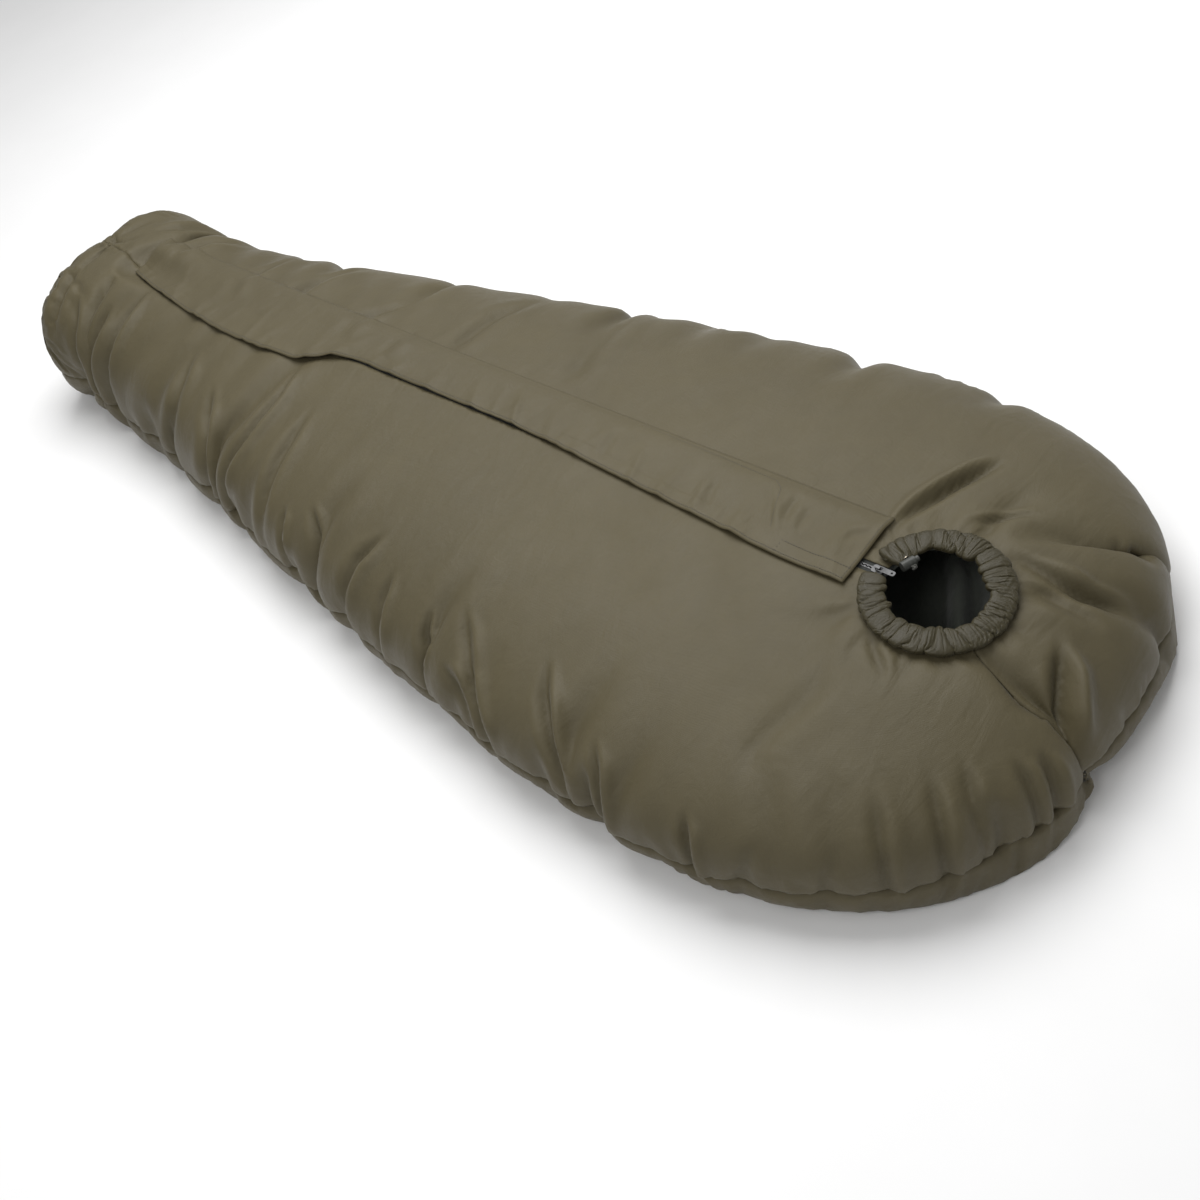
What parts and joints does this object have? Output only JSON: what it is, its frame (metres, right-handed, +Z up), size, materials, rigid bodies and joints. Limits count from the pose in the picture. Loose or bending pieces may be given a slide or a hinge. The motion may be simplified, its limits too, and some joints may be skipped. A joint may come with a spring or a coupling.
{
  "type": "mummy sleeping bag",
  "caption": "Insulated mummy bag: centre zip under a storm flap, oval hood with a gathered drawcord face opening.",
  "frame": {"origin": "on the floor, under the middle of the bag's box", "axes": "+Y from the foot to the head, +X to the side of the flap's free edge, +Z up"},
  "size_m": [0.91, 2.199, 0.2596],
  "materials": {
    "shell_fabric": "satin nylon ripstop weave, olive drab",
    "flap_fabric": "satin nylon weave, olive drab, topstitched",
    "casing_fabric": "gathered nylon, light olive",
    "liner_fabric": "soft matt black nylon taffeta",
    "insulation": "white polyester fibre batting",
    "binding_tape": "woven grosgrain tape, dark olive",
    "zip_tape": "black knitted zip tape",
    "hook_loop": "black hook and loop pile",
    "zip_plastic": "moulded acetal teeth",
    "slider_metal": "black lacquered die-cast zinc",
    "lock_plastic": "moulded nylon, fine texture",
    "cord_braid": "braided nylon cord",
    "spring_steel": "bright spring wire",
    "eyelet_brass": "darkened brass eyelet"
  },
  "bodies": {
    "bag": {"shell_upper_left": "shell_fabric", "shell_upper_right": "shell_fabric", "shell_base": "shell_fabric", "shell_foot": "shell_fabric", "fill_upper_left": "insulation", "fill_upper_right": "insulation", "fill_base": "insulation", "fill_foot": "insulation", "liner_upper_left": "liner_fabric", "liner_upper_right": "liner_fabric", "liner_base": "liner_fabric", "liner_foot": "liner_fabric", "perimeter_seam_tape": "binding_tape", "zip_tape_left": "zip_tape", "zip_tape_right": "zip_tape", "zip_teeth_left": "zip_plastic", "zip_teeth_right": "zip_plastic", "zip_top_stops": "zip_plastic", "zip_bottom_stop": "zip_plastic", "flap_loop_patch": "hook_loop", "face_casing": "casing_fabric", "face_drawcord": "cord_braid", "cord_knot": "cord_braid", "cord_eyelet": "eyelet_brass", "cord_lock_body": "lock_plastic", "cord_lock_spring": "spring_steel", "draft_tube_cover": "liner_fabric", "draft_tube_fill": "insulation", "collar_cover": "liner_fabric", "collar_fill_base": "insulation", "collar_fill_side_left": "insulation", "collar_fill_side_right": "insulation", "collar_fill_top_left": "insulation", "collar_fill_top_right": "insulation", "inner_pocket": "liner_fabric"},
    "flap": {"flap_outer": "flap_fabric", "flap_lining": "flap_fabric", "flap_stiffener": "binding_tape", "flap_hook_patch": "hook_loop"},
    "slider": {"zip_slider": "slider_metal"},
    "outer_pull": {"zip_pull": "slider_metal"},
    "inner_pull": {"zip_pull_inner": "slider_metal"},
    "lock_button": {"cord_lock_plunger": "lock_plastic"}
  },
  "joints": [
    {"name": "flap_fold", "type": "hinge", "parent": "bag", "child": "flap", "pos_m": [-0.078, 0.00005, 0.2217], "axis": [0, -0.9999, 0.015], "range_deg": [0, 160]},
    {"name": "zip_slide", "type": "slide", "parent": "bag", "child": "slider", "axis": [0, 0.9999, -0.015], "range_m": [-1.626, 0]},
    {"name": "zip_pull_swing", "type": "hinge", "parent": "slider", "child": "outer_pull", "pos_m": [0, 0.75697, 0.21065], "axis": [1, 0, 0], "range_deg": [0, 150]},
    {"name": "inner_pull_swing", "type": "hinge", "parent": "slider", "child": "inner_pull", "pos_m": [0, 0.75677, 0.19785], "axis": [1, 0, 0], "range_deg": [-75, 75]},
    {"name": "toggle_press", "type": "slide", "parent": "bag", "child": "lock_button", "axis": [0.9205, -0.3898, 0.0273], "range_m": [0, 0.004], "stiffness_N_per_m": 250, "springref_m": -0.001, "deforming": ["cord_lock_spring"]}
  ],
  "couplings": [
    {"joint": "zip_slide", "follows": "flap_fold", "m_per_rad": -0.58191}
  ]
}
